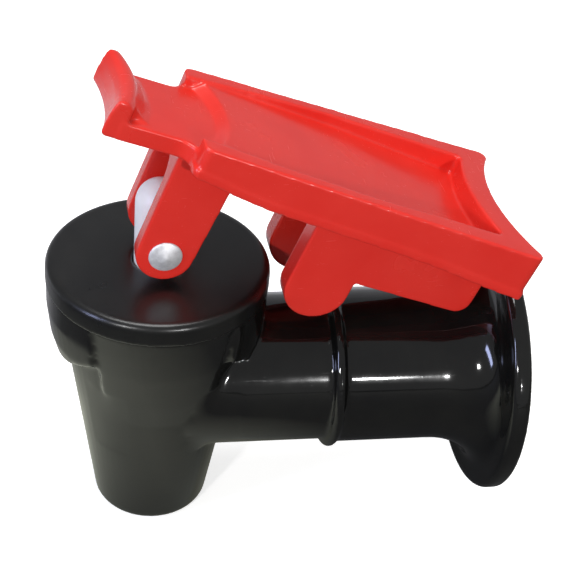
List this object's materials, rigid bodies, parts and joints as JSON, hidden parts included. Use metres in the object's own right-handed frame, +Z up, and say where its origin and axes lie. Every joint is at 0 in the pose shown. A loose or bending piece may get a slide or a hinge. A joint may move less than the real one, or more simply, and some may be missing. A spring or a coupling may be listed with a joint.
{
  "type": "dispensing faucet",
  "caption": "Push-lever dispensing faucet with a tapered down spout, round screw bonnet, flanged inlet barrel and a rocking lever with a wide dished pad riveted to a sprung stem.",
  "frame": {"origin": "centre of the inlet thread's mouth, on the back face of the flange", "axes": "+X along the barrel and out of the inlet, +Z up along the stem, Y across; the faucet is held by its inlet and keeps this frame"},
  "size_m": [0.0819, 0.0478, 0.088],
  "materials": {
    "body_black": "gloss",
    "bonnet_black": "gloss",
    "gasket_rubber": "matte",
    "seal_rubber": "satin",
    "washer_steel": "satin",
    "spring_steel": "satin",
    "stem_white": "gloss",
    "plug_silicone": "matte",
    "lever_red": "gloss",
    "rivet_aluminium": "satin"
  },
  "bodies": {
    "faucet_body": {"body": "body_black", "bonnet": "bonnet_black", "bonnet_gasket": "gasket_rubber", "stem_seal": "seal_rubber", "seal_washer": "washer_steel", "stem_spring": "spring_steel"},
    "plug": {"seat_plug": "plug_silicone"},
    "stem": {"stem": "stem_white"},
    "lever": {"lever": "lever_red", "rivet": "rivet_aluminium"}
  },
  "joints": [
    {"name": "stem_lift", "type": "slide", "parent": "faucet_body", "child": "plug", "axis": [0, 0, 1], "range_m": [0, 0.003], "stiffness_N_per_m": 900, "springref_m": -0.004, "deforming": ["stem_spring"]},
    {"name": "lever_swing", "type": "hinge", "parent": "plug", "child": "stem", "pos_m": [-0.0629, 0, 0], "axis": [0, 0, 1], "continuous": true},
    {"name": "lever_tilt", "type": "hinge", "parent": "stem", "child": "lever", "pos_m": [-0.0629, 0, 0.0311], "axis": [-0.0384, 0.9993, 0], "range_deg": [-75, 2]}
  ]
}
